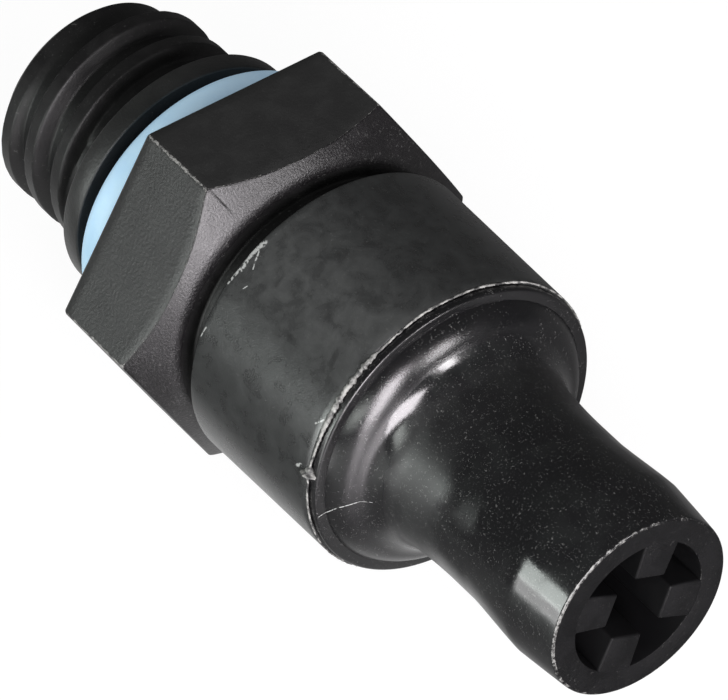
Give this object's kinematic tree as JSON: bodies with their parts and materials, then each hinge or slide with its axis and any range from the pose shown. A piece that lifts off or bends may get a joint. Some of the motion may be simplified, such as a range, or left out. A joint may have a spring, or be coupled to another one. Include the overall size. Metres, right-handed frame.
{
  "type": "crankcase ventilation valve",
  "caption": "Screw-in crankcase ventilation valve: threaded inlet with O-ring, hexagon, round barrel, hose nipple with ribbed mouth, and a sprung metering plunger inside.",
  "frame": {"origin": "centre of the valve's box, on its axis half way along its length", "axes": "+X along the valve's axis towards the hose nipple; +Z normal to the upper flat of the hexagon"},
  "size_m": [0.061, 0.0274, 0.024],
  "materials": {
    "black_nylon": "moulded, semi-gloss, with a fine speckle",
    "blue_rubber": "smooth, dull",
    "plated_steel": "zinc plated",
    "spring_steel": "drawn wire and stamped strip",
    "turned_brass": "turned"
  },
  "bodies": {
    "valve_body": {"valve_housing": "black_nylon", "outlet_nipple": "black_nylon", "sealing_ring": "blue_rubber", "inlet_seat": "plated_steel", "seat_retainer": "spring_steel", "metering_orifice": "turned_brass", "main_spring": "spring_steel"},
    "plunger": {"plunger": "plated_steel"}
  },
  "joints": [
    {"name": "plunger_slide", "type": "slide", "parent": "valve_body", "child": "plunger", "axis": [1, 0, 0], "range_m": [0, 0.005], "stiffness_N_per_m": 60, "springref_m": -0.006, "deforming": ["main_spring"]}
  ]
}
